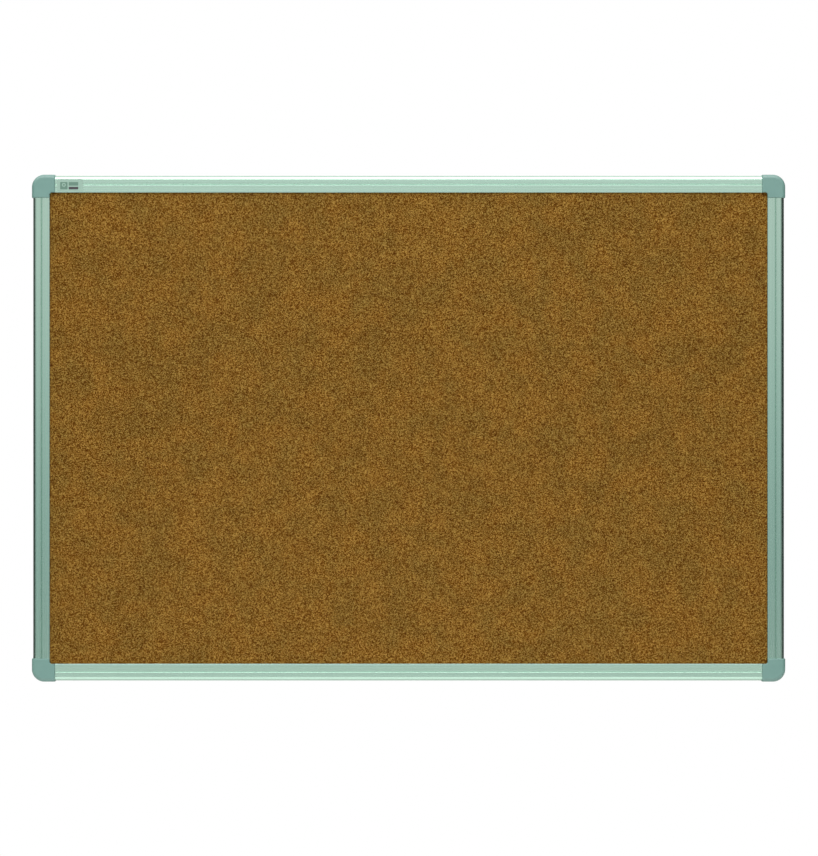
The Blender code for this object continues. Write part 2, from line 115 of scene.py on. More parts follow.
# Hanging keyhole in the cap's back
KEYHOLE_CENTRE = 9.2 * MM
KEYHOLE_ENTRY = 7.6 * MM
KEYHOLE_SLOT = 4.2 * MM
KEYHOLE_TRAVEL = 3.0 * MM
KEYHOLE_PLATE = 1.6 * MM
POCKET_NEAR = 0.9 * MM
POCKET_FAR = 13.2 * MM
POCKET_DEPTH = 7.4 * MM
POCKET_ROUND = 0.9 * MM
POCKET_OUTER_SHARE = 0.92
POCKET_OUTER_STEPS = 16
POCKET_STEPS = 4
SLOT_END_SHARE = 0.98
SLOT_STEPS = 8

# Countersunk screws
SCREW_HEAD = screw_high.x - screw_low.x
SCREW_LENGTH = screw_high.y - screw_low.y
SCREW_SHANK = 2.9 * MM
SCREW_RIM = 0.3 * MM
SCREW_POINT = 2.0 * MM
SCREW_HOLE_GAP = 0.12 * MM
CROSS_LENGTH = 2.8 * MM
CROSS_WIDTH = 0.6 * MM
CROSS_DEPTH = 1.1 * MM
CROSS_TAPER = 0.45
SCREW_HEAD_ROUND = 0.12 * MM
SCREW_HEAD_STEPS = 3
SCREW_SIDES = 40
TURN_BETWEEN_SCREWS = 37.0
SCREW_FROM_MIDDLE = {
    "long": middle("screw_bottom_rail_right").x,
    "short": middle("screw_left_rail_top").z,
}

# Printed sticker on the upper rail
LABEL_THICKNESS = 0.18 * MM
LABEL_CORNER = 1.2 * MM
LABEL_BACK = RAIL_BACK - RAIL_DEPTH - 0.01 * MM
INK_THICKNESS = 0.03 * MM
INK_BACK = LABEL_BACK - LABEL_THICKNESS + 0.01 * MM
MARK_LEFT = 4.0 * MM
MARK_WIDTH = 21.6 * MM
MARK_BOTTOM = 1.9 * MM
MARK_HEIGHT = 8.8 * MM
BAR_HEIGHT = 3.1 * MM
BAR_GAP = 1.4 * MM
NOTE_CORNER = 0.8 * MM
CORNER_STEPS = 8

# The pin on the printed note, as shares of the note's side
PIN_HEIGHT = 0.62
PIN_RING_RADIUS = 0.26
PIN_RADIUS = 0.14
PIN_RING_SIDES = 32
PIN_SIDES = 24

# The cork's sanded face
CORK_CELL = 5.0 * MM
CORK_SWELL = 0.25 * MM
CORK_WAVE = 30.0 * MM

# How far a cutting shape runs past what it cuts, and how close two places count as one
SPARE = 2.0 * MM
SAME = 0.01 * MM

# Edges that turn more than this many degrees stay crisp
SHARP_ANGLE = 30.0


# ---------------------------------------------------------------- modelling by hand, in code

def only(obj):
    """Make one object the selected and the active one."""
    bpy.ops.object.select_all(action="DESELECT")
    obj.select_set(True)
    bpy.context.view_layer.objects.active = obj
    return obj


def settle(obj):
    """Put an object's place, turn and scale into its mesh."""
    only(obj)
    bpy.ops.object.transform_apply(location=True, rotation=True, scale=True)
    return obj


def start_box(low, high):
    """A cube primitive between two corners."""
    low, high = Vector(low), Vector(high)
    bpy.ops.object.select_all(action="DESELECT")
    bpy.ops.mesh.primitive_cube_add(size=1.0, location=(low + high) / 2, scale=high - low)
    return settle(bpy.context.object)


def start_round(radius, depth, place, steps=48):
    """A cylinder primitive with its axis along Y."""
    bpy.ops.object.select_all(action="DESELECT")
    bpy.ops.mesh.primitive_cylinder_add(
        vertices=steps, radius=radius, depth=depth, location=place, rotation=(math.pi / 2, 0.0, 0.0))
    return settle(bpy.context.object)


def edit(obj):
    """Enter edit mode on one object with all of it selected."""
    only(obj)
    bpy.ops.object.mode_set(mode="EDIT")
    bpy.ops.mesh.select_all(action="SELECT")


def leave():
    """Turn every face outwards and leave edit mode."""
    bpy.ops.mesh.select_all(action="SELECT")
    bpy.ops.mesh.normals_make_consistent(inside=False)
    bpy.ops.object.mode_set(mode="OBJECT")


def pick(kind, test):
    """In edit mode, select each VERT, EDGE or FACE whose list of corners passes a test."""
    bpy.ops.mesh.select_mode(type=kind)
    bpy.ops.mesh.select_all(action="DESELECT")
    mesh = bmesh.from_edit_mesh(bpy.context.edit_object.data)
    elements = {"VERT": mesh.verts, "EDGE": mesh.edges, "FACE": mesh.faces}[kind]
    for element in elements:
        corners = [element.co] if kind == "VERT" else [corner.co for corner in element.verts]
        element.select_set(test(corners))
    mesh.select_flush_mode()
    bmesh.update_edit_mesh(bpy.context.edit_object.data)


def same(value, target):
    """True where two places are one."""
    return abs(value - target) < SAME


def along(axis_values):
    """A test for edges that run along one axis at a given place on the other two."""
    def test(corners):
        return all(same(corner[axis], value) for corner in corners for axis, value in axis_values)
    return test


def round_edges(test, radius, steps):
    """In edit mode, round the edges that pass a test."""
    pick("EDGE", test)
    bpy.ops.mesh.bevel(offset=radius, segments=steps, profile=0.5, affect="EDGES", clamp_overlap=False)


def cut_line(height):
    """In edit mode, cut a level line across what is selected."""
    bpy.ops.mesh.bisect(plane_co=(0.0, 0.0, height), plane_no=(0.0, 0.0, 1.0))


def extrude(offset):
    """In edit mode, extrude what is selected by an offset."""
    bpy.ops.mesh.extrude_region_move(TRANSFORM_OT_translate={"value": offset})


def use_modifier(obj, kind, **settings):
    """Add a modifier with its settings and apply it."""
    only(obj)
    bpy.ops.object.modifier_add(type=kind)
    modifier = obj.modifiers[-1]
    for name, value in settings.items():
        setattr(modifier, name, value)
    bpy.ops.object.modifier_apply(modifier=modifier.name)


def combine(obj, other, operation="DIFFERENCE"):
    """Cut one shape from another, or join it on, and remove the other shape."""
    use_modifier(obj, "BOOLEAN", object=other, operation=operation, solver="EXACT")
    bpy.data.objects.remove(other)


def copy_of(obj):
    """A copy of an object with its own mesh."""
    only(obj)
    bpy.ops.object.duplicate()
    return bpy.context.object


def twin_of(obj):
    """A copy of a shape of the cap's X arm, mirrored onto its Z arm."""
    twin = copy_of(obj)
    twin.scale.z = -1.0
    twin.rotation_euler.y = -math.pi / 2
    settle(twin)
    edit(twin)
    leave()
    return twin


def turn_and_place(obj, quarter, place):
    """Turn a piece by quarter turns anticlockwise as seen from the front, and put it in place."""
    obj.rotation_euler.y = -quarter * math.pi / 2
    obj.location = place
    return settle(obj)


def smooth(obj):
    """Smooth shading that stays crisp at sharp edges and flat on flat faces."""
    only(obj)
    bpy.ops.object.shade_smooth_by_angle(angle=math.radians(SHARP_ANGLE))
    use_modifier(obj, "WEIGHTED_NORMAL", keep_sharp=True)


def finished(obj, name, material, slot, *nodes):
    """Name a piece, give it its material and hide the CAD nodes it stands for."""
    obj.name = name
    obj.data.name = name
    obj.data.materials.clear()
    obj.data.materials.append(material)
    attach(obj, "root")
    if nodes:
        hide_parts(*nodes)
    return obj


# ---------------------------------------------------------------- materials

def colour(code):
    """An sRGB hex colour as linear red, green, blue and alpha."""
    parts = [int(code[index:index + 2], 16) / 255 for index in (1, 3, 5)]
    linear = [p / 12.92 if p <= 0.04045 else ((p + 0.055) / 1.055) ** 2.4 for p in parts]
    return (*linear, 1.0)


def new_material(name):
    """An empty material: its node tree and its shader."""
    material = bpy.data.materials.new(name)
    material.use_nodes = True
    tree = material.node_tree
    return material, tree, tree.nodes["Principled BSDF"]


def add(tree, kind, settings=None, inputs=None):
    """Add a node with its settings. An input is a value, or another node's output to link from."""
    node = tree.nodes.new(kind)
    for name, value in (settings or {}).items():
        setattr(node, name, value)
    for name, value in (inputs or {}).items():
        if isinstance(value, bpy.types.NodeSocket):
            tree.links.new(value, node.inputs[name])
        else:
            node.inputs[name].default_value = value
    return node


def per_metre(millimetres):
    """Texture scale of a pattern whose features are this many millimetres apart."""
    return 1.0 / (millimetres * MM)


def wave_scale(millimetres):
    """Scale of a wave texture whose waves are this many millimetres apart."""
    return 2 * math.pi / (20.0 * millimetres * MM)


def anodised_aluminium():
    """Natural anodised aluminium, extruded: a satin grey metal with die lines along its length.

    The lines spread a reflection across the rail and leave it sharp along the rail.
    """
    material, tree, shader = new_material("anodised_aluminium_extruded")
    uv = add(tree, "ShaderNodeUVMap", {"uv_map": "along_rail"}).outputs["UV"]
    # Die lines are some 0.05 mm apart on the real thing, and are drawn 0.5 mm apart here to show
    lines_at = add(tree, "ShaderNodeMapping", {}, {"Vector": uv, "Scale": (1.5, per_metre(0.5), 1.0)})
    lines = add(tree, "ShaderNodeTexNoise", {"noise_dimensions": "2D"},
                {"Vector": lines_at.outputs["Vector"], "Scale": 1.0, "Detail": 2.0})
    bands_at = add(tree, "ShaderNodeMapping", {}, {"Vector": uv, "Scale": (0.8, per_metre(3.0), 1.0)})
    bands = add(tree, "ShaderNodeTexNoise", {"noise_dimensions": "2D"},
                {"Vector": bands_at.outputs["Vector"], "Scale": 1.0, "Detail": 1.0})
    tone = add(tree, "ShaderNodeMix", {"data_type": "RGBA"},
               {0: bands.outputs["Fac"], 6: colour("#B1D5C6"), 7: colour("#BCE3D3")})
    polish = add(tree, "ShaderNodeMapRange", {},
                 {"Value": lines.outputs["Fac"], "To Min": 0.22, "To Max": 0.31})
    relief = add(tree, "ShaderNodeBump", {},
                 {"Height": lines.outputs["Fac"], "Strength": 0.12, "Distance": 0.02 * MM})
    across = add(tree, "ShaderNodeTangent", {"direction_type": "UV_MAP", "uv_map": "along_rail"})
    tree.links.new(tone.outputs[2], shader.inputs["Base Color"])
    tree.links.new(polish.outputs["Result"], shader.inputs["Roughness"])
    tree.links.new(relief.outputs["Normal"], shader.inputs["Normal"])
    tree.links.new(across.outputs["Tangent"], shader.inputs["Tangent"])
    shader.inputs["Metallic"].default_value = 1.0
    shader.inputs["Anisotropic"].default_value = 0.75
    shader.inputs["Anisotropic Rotation"].default_value = 0.25
    return material


def moulded_abs():
    """ABS, injection moulded in a spark-eroded tool: an even grey-green with a soft gloss."""
    material, tree, shader = new_material("abs_moulded")
    place = add(tree, "ShaderNodeTexCoord").outputs["Object"]
    flow = add(tree, "ShaderNodeTexNoise", {},
               {"Vector": place, "Scale": per_metre(14.0), "Detail": 2.0})
    # The tool's grain is about 0.1 mm and is drawn at 0.6 mm to show
    grain = add(tree, "ShaderNodeTexNoise", {},
                {"Vector": place, "Scale": per_metre(0.6), "Detail": 3.0})
    tone = add(tree, "ShaderNodeMix", {"data_type": "RGBA"},
               {0: flow.outputs["Fac"], 6: colour("#6B958E"), 7: colour("#749F97")})
    gloss = add(tree, "ShaderNodeMapRange", {},
                {"Value": grain.outputs["Fac"], "To Min": 0.26, "To Max": 0.38})
    relief = add(tree, "ShaderNodeBump", {},
                 {"Height": grain.outputs["Fac"], "Strength": 0.2, "Distance": 0.05 * MM})
    tree.links.new(tone.outputs[2], shader.inputs["Base Color"])
    tree.links.new(gloss.outputs["Result"], shader.inputs["Roughness"])
    tree.links.new(relief.outputs["Normal"], shader.inputs["Normal"])
    shader.inputs["IOR"].default_value = 1.54
    return material


def zinc_plated_steel():
    """Steel, cold headed and zinc plated: a bluish bright metal, mottled by the passivation."""
    material, tree, shader = new_material("steel_zinc_plated")
    place = add(tree, "ShaderNodeTexCoord").outputs["Object"]
    mottle = add(tree, "ShaderNodeTexNoise", {},
                 {"Vector": place, "Scale": per_metre(1.2), "Detail": 3.0})
    scuff = add(tree, "ShaderNodeTexNoise", {},
                {"Vector": place, "Scale": per_metre(0.3), "Detail": 2.0})
    tone = add(tree, "ShaderNodeMix", {"data_type": "RGBA"},
               {0: mottle.outputs["Fac"], 6: colour("#9FA6A8"), 7: colour("#DCDCD2")})
    gloss = add(tree, "ShaderNodeMapRange", {},
                {"Value": scuff.outputs["Fac"], "To Min": 0.22, "To Max": 0.48})
    relief = add(tree, "ShaderNodeBump", {},
                 {"Height": scuff.outputs["Fac"], "Strength": 0.3, "Distance": 0.03 * MM})
    tree.links.new(tone.outputs[2], shader.inputs["Base Color"])
    tree.links.new(gloss.outputs["Result"], shader.inputs["Roughness"])
    tree.links.new(relief.outputs["Normal"], shader.inputs["Normal"])
    shader.inputs["Metallic"].default_value = 1.0
    return material


def agglomerated_cork():
    """Fine cork granules, bound in a block and sliced: a matt, speckled golden brown.

    Each granule has its own tone, the bark bits dark and the fresh ones pale, and the sheet's
    tone drifts a little from place to place.
    """
    material, tree, shader = new_material("cork_agglomerated")
    place = add(tree, "ShaderNodeTexCoord").outputs["Object"]
    # Granules some 0.85 mm across, with crumbs of 0.55 mm among them
    granules = add(tree, "ShaderNodeTexVoronoi", {}, {"Vector": place, "Scale": per_metre(0.85)})
    crumbs = add(tree, "ShaderNodeTexVoronoi", {}, {"Vector": place, "Scale": per_metre(0.55)})
    granule_tone = add(tree, "ShaderNodeSeparateColor", {}, {"Color": granules.outputs["Color"]})
    crumb_tone = add(tree, "ShaderNodeSeparateColor", {}, {"Color": crumbs.outputs["Color"]})
    mixed = add(tree, "ShaderNodeMix", {"data_type": "FLOAT"},
                {0: 0.4, 2: granule_tone.outputs["Red"], 3: crumb_tone.outputs["Red"]})
    ramp = add(tree, "ShaderNodeValToRGB", {}, {"Fac": mixed.outputs[0]})
    stops = ((0.20, "#461F00"), (0.50, "#6E4C0E"), (0.80, "#AA9048"))
    band = ramp.color_ramp
    for stop, (position, code) in enumerate(stops):
        element = band.elements[stop] if stop < 2 else band.elements.new(position)
        element.position = position
        element.color = colour(code)
    patches = add(tree, "ShaderNodeTexNoise", {},
                  {"Vector": place, "Scale": per_metre(28.0), "Detail": 3.0})
    spread = add(tree, "ShaderNodeMapRange", {},
                 {"Value": patches.outputs["Fac"], "From Min": 0.35, "From Max": 0.65})
    drift = add(tree, "ShaderNodeMix", {"data_type": "RGBA"},
                {0: spread.outputs["Result"], 6: colour("#FFF5E6"), 7: colour("#EAEAE4")})
    tone = add(tree, "ShaderNodeMix", {"data_type": "RGBA", "blend_type": "MULTIPLY"},
               {0: 1.0, 6: ramp.outputs["Color"], 7: drift.outputs[2]})
    relief = add(tree, "ShaderNodeBump", {},
                 {"Height": mixed.outputs[0], "Strength": 0.5, "Distance": 0.12 * MM})
    tree.links.new(tone.outputs[2], shader.inputs["Base Color"])
    tree.links.new(relief.outputs["Normal"], shader.inputs["Normal"])
    shader.inputs["Roughness"].default_value = 0.85
    shader.inputs["Specular IOR Level"].default_value = 0.1
    return material


def hardboard():
    """Hardboard, wet pressed on a screen: a dull brown fibre sheet with the screen's weave on it."""
    material, tree, shader = new_material("hardboard_screen_pressed")
    place = add(tree, "ShaderNodeTexCoord").outputs["Object"]
    fibres_at = add(tree, "ShaderNodeMapping", {}, {"Vector": place, "Scale": (1.0, 1.0, 0.35)})
    fibres = add(tree, "ShaderNodeTexNoise", {},
                 {"Vector": fibres_at.outputs["Vector"], "Scale": per_metre(0.9),
                  "Detail": 4.0, "Distortion": 0.6})
    clouds = add(tree, "ShaderNodeTexNoise", {},
                 {"Vector": place, "Scale": per_metre(60.0), "Detail": 3.0})
    wires = [add(tree, "ShaderNodeTexWave", {"bands_direction": axis},
                 {"Vector": place, "Scale": wave_scale(2.0), "Distortion": 0.4}) for axis in ("X", "Z")]
    weave = add(tree, "ShaderNodeMath", {"operation": "MULTIPLY"},
                {0: wires[0].outputs["Fac"], 1: wires[1].outputs["Fac"]})
    tone = add(tree, "ShaderNodeMix", {"data_type": "RGBA"},
               {0: fibres.outputs["Fac"], 6: colour("#5A3D26"), 7: colour("#9A7450")})
    shade = add(tree, "ShaderNodeMix", {"data_type": "RGBA"},
                {0: clouds.outputs["Fac"], 6: colour("#E4D8CC"), 7: colour("#FFFFFF")})
    worn = add(tree, "ShaderNodeMix", {"data_type": "RGBA", "blend_type": "MULTIPLY"},
               {0: 1.0, 6: tone.outputs[2], 7: shade.outputs[2]})
    relief = add(tree, "ShaderNodeBump", {},
                 {"Height": weave.outputs[0], "Strength": 0.6, "Distance": 0.2 * MM})
    tree.links.new(worn.outputs[2], shader.inputs["Base Color"])
    tree.links.new(relief.outputs["Normal"], shader.inputs["Normal"])
    shader.inputs["Roughness"].default_value = 0.75
    shader.inputs["Specular IOR Level"].default_value = 0.3
    return material


def softboard():
    """Softboard, felted wood fibre: a pale, loose and matt tan core that pins go into."""
    material, tree, shader = new_material("softboard_felted")
    place = add(tree, "ShaderNodeTexCoord").outputs["Object"]
    fibres = add(tree, "ShaderNodeTexNoise", {},
                 {"Vector": place, "Scale": per_metre(1.5), "Detail": 5.0, "Distortion": 1.0})
    tone = add(tree, "ShaderNodeMix", {"data_type": "RGBA"},
               {0: fibres.outputs["Fac"], 6: colour("#7D6343"), 7: colour("#B79B74")})
    relief = add(tree, "ShaderNodeBump", {},
                 {"Height": fibres.outputs["Fac"], "Strength": 0.6, "Distance": 0.3 * MM})
    tree.links.new(tone.outputs[2], shader.inputs["Base Color"])
    tree.links.new(relief.outputs["Normal"], shader.inputs["Normal"])
    shader.inputs["Roughness"].default_value = 0.95
    return material


def label_film(name, dark, light, roughness):
    """Polyester label film or the ink on it: an even tone with a faint coating mottle and soft gloss."""
    material, tree, shader = new_material(name)
    place = add(tree, "ShaderNodeTexCoord").outputs["Object"]
    mottle = add(tree, "ShaderNodeTexNoise", {},
                 {"Vector": place, "Scale": per_metre(1.5), "Detail": 2.0})
    tone = add(tree, "ShaderNodeMix", {"data_type": "RGBA"},
               {0: mottle.outputs["Fac"], 6: colour(dark), 7: colour(light)})
    gloss = add(tree, "ShaderNodeMapRange", {},
                {"Value": mottle.outputs["Fac"], "To Min": roughness, "To Max": roughness + 0.1})
    tree.links.new(tone.outputs[2], shader.inputs["Base Color"])
    tree.links.new(gloss.outputs["Result"], shader.inputs["Roughness"])
    return material


def studio_floor():
    """Painted studio floor: pale, matt and very slightly uneven."""
    material, tree, shader = new_material("studio_paint_matt")
    place = add(tree, "ShaderNodeTexCoord").outputs["Object"]
    unevenness = add(tree, "ShaderNodeTexNoise", {}, {"Vector": place, "Scale": 0.8, "Detail": 2.0})
    tone = add(tree, "ShaderNodeMix", {"data_type": "RGBA"},
               {0: unevenness.outputs["Fac"], 6: colour("#CFCFCC"), 7: colour("#D6D6D4")})
    tree.links.new(tone.outputs[2], shader.inputs["Base Color"])
    shader.inputs["Roughness"].default_value = 0.9
    return material


# ---------------------------------------------------------------- rails

def model_rail(length, screw_from_middle):
    """A rail along X with its outer rear edge on the X axis, facing -Y, its lips towards +Z."""
    end = length / 2
    rail = start_box((-end, -RAIL_DEPTH, 0.0), (end, 0.0, FACE_WIDTH))
    edit(rail)
    for offset in (-GROOVE_WIDTH / 2, -GROOVE_FLOOR / 2, GROOVE_FLOOR / 2, GROOVE_WIDTH / 2):
        pick("FACE", lambda corners: all(same(corner.y, -RAIL_DEPTH) for corner in corners))
        cut_line(GROOVE_FROM_EDGE + offset)
    floor_reach = GROOVE_FLOOR / 2 + SAME
    pick("VERT", lambda corners: same(corners[0].y, -RAIL_DEPTH)
         and abs(corners[0].z - GROOVE_FROM_EDGE) < floor_reach)
    bpy.ops.transform.translate(value=(0.0, GROOVE_DEPTH, 0.0))
    round_edges(along(((1, -RAIL_DEPTH), (2, 0.0))), FACE_ROUND, FACE_STEPS)
    round_edges(along(((1, -RAIL_DEPTH), (2, FACE_WIDTH))), LIP_ROUND, LIP_STEPS)
    for side in (-GROOVE_WIDTH / 2, GROOVE_WIDTH / 2):
        round_edges(along(((1, -RAIL_DEPTH), (2, GROOVE_FROM_EDGE + side))), ARRIS, ARRIS_STEPS)
    leave()

    # The closed tube's inside
    beyond = end + SPARE
    front = RAIL_WALL - RAIL_DEPTH
    hollow = start_box((-beyond, front, RAIL_WALL), (beyond, -RAIL_WALL, TUBE_WIDTH - RAIL_WALL))
    edit(hollow)
    round_edges(along(((1, front), (2, RAIL_WALL))), FACE_ROUND - RAIL_WALL, HOLLOW_STEPS)
    leave()
    combine(rail, hollow)

    # The channel for the panel, the step behind the rear lip, and the rear lip's end
    far = FACE_WIDTH + SPARE
    lip_front = -REAR_LIP_BACK - RAIL_WALL
    for deep, shallow, inward in ((front, lip_front, TUBE_WIDTH), (-REAR_LIP_BACK, SPARE, TUBE_WIDTH),
                                  (lip_front - SPARE, SPARE, REAR_LIP_REACH)):
        combine(rail, start_box((-beyond, deep, inward), (beyond, shallow, far)))
    edit(rail)
    for depth, inward in ((0.0, 0.0), (0.0, TUBE_WIDTH), (REAR_LIP_BACK, REAR_LIP_REACH),
                          (REAR_LIP_BACK + RAIL_WALL, REAR_LIP_REACH)):
        round_edges(along(((1, -depth), (2, inward))), ARRIS, ARRIS_STEPS)
    bpy.ops.mesh.select_all(action="SELECT")
    bpy.ops.uv.cube_project(cube_size=1.0, correct_aspect=False)
    leave()
    rail.data.uv_layers[0].name = "along_rail"
    for side in (-screw_from_middle, screw_from_middle):
        hole = screw_blank(SCREW_HOLE_GAP)
        turn_and_place(hole, 0, (side, 0.0, TUBE_WIDTH / 2))
        combine(rail, hole)
    return rail


def add_rails(material):
    """The four rails: one long and one short, each copied half round to the other side."""
    long_rail = model_rail(LONG_RAIL, SCREW_FROM_MIDDLE["long"])
    short_rail = model_rail(SHORT_RAIL, SCREW_FROM_MIDDLE["short"])
    spots = (
        ("bottom", copy_of(long_rail), 0, (0.0, RAIL_BACK, -HALF_HEIGHT)),
        ("right", copy_of(short_rail), 1, (HALF_WIDTH, RAIL_BACK, 0.0)),
        ("top", long_rail, 2, (0.0, RAIL_BACK, HALF_HEIGHT)),
        ("left", short_rail, 3, (-HALF_WIDTH, RAIL_BACK, 0.0)),
    )
    for side, rail, quarter, place in spots:
        turn_and_place(rail, quarter, place)
        smooth(rail)
        finished(rail, f"{side}_rail_profile", material, "anodised_aluminium", f"rail_{side}")


# ---------------------------------------------------------------- screws

def screw_blank(grown):
    """A countersunk screw without its recess: head's top at the origin facing +Y, grown by a gap."""
    head = SCREW_HEAD / 2 + grown
    shank = SCREW_SHANK / 2 + grown
    top = SPARE if grown else 0.0
    bpy.ops.object.select_all(action="DESELECT")
    bpy.ops.mesh.primitive_circle_add(vertices=SCREW_SIDES, radius=head, fill_type="NGON",
                                      location=(0.0, top, 0.0), rotation=(-math.pi / 2, 0.0, 0.0))
    screw = settle(bpy.context.object)
    edit(screw)
    bpy.ops.mesh.select_mode(type="FACE")
    bpy.ops.mesh.select_all(action="SELECT")
    extrude((0.0, -top - SCREW_RIM, 0.0))
    extrude((0.0, shank - head, 0.0))
    bpy.ops.transform.resize(value=(shank / head, 1.0, shank / head),
                             center_override=(0.0, -SCREW_RIM + shank - head, 0.0))
    length = SCREW_LENGTH - SCREW_POINT - SCREW_RIM - (head - shank)
    extrude((0.0, -length, 0.0))
    extrude((0.0, -SCREW_POINT, 0.0))
    bpy.ops.mesh.merge(type="CENTER")
    leave()
    return screw


def model_screw():
    """The screw with its cross recess, and a fine round on the head's rim."""
    screw = screw_blank(0.0)
    edit(screw)
    rim = SCREW_HEAD / 2 - SAME
    round_edges(lambda corners: all(same(corner.y, 0.0) and corner.xz.length > rim for corner in corners),
                SCREW_HEAD_ROUND, SCREW_HEAD_STEPS)
    leave()
    for length, width in ((CROSS_LENGTH, CROSS_WIDTH), (CROSS_WIDTH, CROSS_LENGTH)):
        slot = start_box((-length / 2, -CROSS_DEPTH, -width / 2), (length / 2, SPARE, width / 2))
        edit(slot)
        pick("FACE", lambda corners: all(same(corner.y, -CROSS_DEPTH) for corner in corners))
        bpy.ops.transform.resize(value=(CROSS_TAPER, 1.0, CROSS_TAPER),
                                 center_override=(0.0, -CROSS_DEPTH, 0.0))
        leave()
        combine(screw, slot)
    return screw


def add_screws(material):
    """Two screws to each rail, modelled once and turned a little differently from each other."""
    master = model_screw()
    names = [f"screw_{side}_rail_{end}" for side in ("top", "bottom") for end in ("left", "right")]
    names += [f"screw_{side}_rail_{end}" for side in ("left", "right") for end in ("top", "bottom")]
    for index, node in enumerate(names):
        screw = copy_of(master)
        screw.rotation_euler.y = math.radians(TURN_BETWEEN_SCREWS * index)
        low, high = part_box(node)
        screw.location = ((low.x + high.x) / 2, high.y, (low.z + high.z) / 2)
        settle(screw)
        smooth(screw)
        finished(screw, node.replace("screw_", "countersunk_"), material, "plated_steel", node)
    bpy.data.objects.remove(master)


# ---------------------------------------------------------------- corner caps

def cap_shell():
    """The cap's outside: a block with one round corner, an inner notch and rounded front edges."""
    rim = -CAP_OVERHANG
    cap = start_box((rim, -CAP_DEPTH, rim), (CAP_REACH, 0.0, CAP_REACH))
    edit(cap)
    round_edges(along(((0, rim), (2, rim))), CAP_CORNER_ROUND, CAP_CORNER_STEPS)
    leave()
    far = CAP_REACH + SPARE
    notch = start_box((FACE_WIDTH, -CAP_DEPTH - SPARE, FACE_WIDTH), (far, SPARE, far))
    edit(notch)
    round_edges(along(((0, FACE_WIDTH), (2, FACE_WIDTH))), CAP_INNER_ROUND, CAP_INNER_STEPS)
    leave()
    combine(cap, notch)
    edit(cap)
    front = -CAP_DEPTH

    def outside(corners):
        at_front = all(same(corner.y, front) for corner in corners)
        spot = (corners[0] + corners[1]) / 2
        at_end = max(spot.x, spot.z) > CAP_REACH - SAME
        at_inner = min(spot.x, spot.z) > FACE_WIDTH - SAME
        return at_front and not at_end and not at_inner

    def ends_and_inner(corners):
        spot = (corners[0] + corners[1]) / 2
        if all(same(corner.y, 0.0) for corner in corners):
            return False
        at_end = any(all(same(corner[axis], CAP_REACH) for corner in corners) for axis in (0, 2))
        at_inner = min(spot.x, spot.z) > FACE_WIDTH - SAME
        return at_end and not at_inner or at_inner and all(same(corner.y, front) for corner in corners)

    round_edges(outside, CAP_RIM_ROUND, CAP_RIM_STEPS)
    round_edges(ends_and_inner, CAP_END_ROUND, CAP_END_STEPS)
    leave()
    return cap


def rail_socket():
    """The space that a rail's end takes in the cap's X arm."""
    start = RAIL_START - GAP
    low = (start, -CAP_BACK - GAP - RAIL_DEPTH - GAP, -GAP)
    high = (CAP_REACH + SPARE, -CAP_BACK, FACE_WIDTH + CAP_INNER_ROUND + SPARE)
    socket = start_box(low, high)
    edit(socket)
    round_edges(along(((1, low[1]), (2, low[2]))), FACE_ROUND + GAP, SOCKET_STEPS)
    leave()
    return socket


def tongue(start, end, inset, lead_in):
    """A bar that fills the rail's tube, drawn in by an inset, in the cap's X arm."""
    low = RAIL_WALL + inset
    front = RAIL_BACK - RAIL_DEPTH + RAIL_WALL + inset
    bar = start_box((start, front, low), (end, RAIL_BACK - low, TUBE_WIDTH - low))
    edit(bar)
    radius = max(FACE_ROUND - RAIL_WALL - inset, ARRIS)
    round_edges(along(((1, front), (2, low))), radius, TONGUE_STEPS)
    if lead_in:
        pick("EDGE", lambda corners: all(same(corner.x, end) for corner in corners))
        bpy.ops.mesh.bevel(offset=lead_in, segments=1, affect="EDGES")
    leave()
    return bar


def screw_head_pocket():
    """The hollow behind the keyhole, with round corners."""
    pocket = start_box((POCKET_NEAR, -KEYHOLE_PLATE - POCKET_DEPTH, POCKET_NEAR),
                       (POCKET_FAR, -KEYHOLE_PLATE, POCKET_FAR))
    edit(pocket)
    wall = POCKET_NEAR + CAP_OVERHANG
    outer_round = (CAP_CORNER_ROUND - wall) * POCKET_OUTER_SHARE
    round_edges(along(((0, POCKET_NEAR), (2, POCKET_NEAR))), outer_round, POCKET_OUTER_STEPS)
    for x, z in ((POCKET_NEAR, POCKET_FAR), (POCKET_FAR, POCKET_FAR), (POCKET_FAR, POCKET_NEAR)):
        round_edges(along(((0, x), (2, z))), POCKET_ROUND, POCKET_STEPS)
    leave()
    return pocket


def keyhole_slot():
    """The slot from the keyhole's entry towards the cap's outside, for the screw's shank."""
    half = KEYHOLE_SLOT / 2
    far = KEYHOLE_CENTRE - KEYHOLE_TRAVEL - half
    low = (far, -KEYHOLE_PLATE - GAP, KEYHOLE_CENTRE - half)
    high = (KEYHOLE_CENTRE, SPARE, KEYHOLE_CENTRE + half)
    slot = start_box(low, high)
    edit(slot)
    for z in (low[2], high[2]):
        round_edges(along(((0, far), (2, z))), half * SLOT_END_SHARE, SLOT_STEPS)
    leave()
    return slot


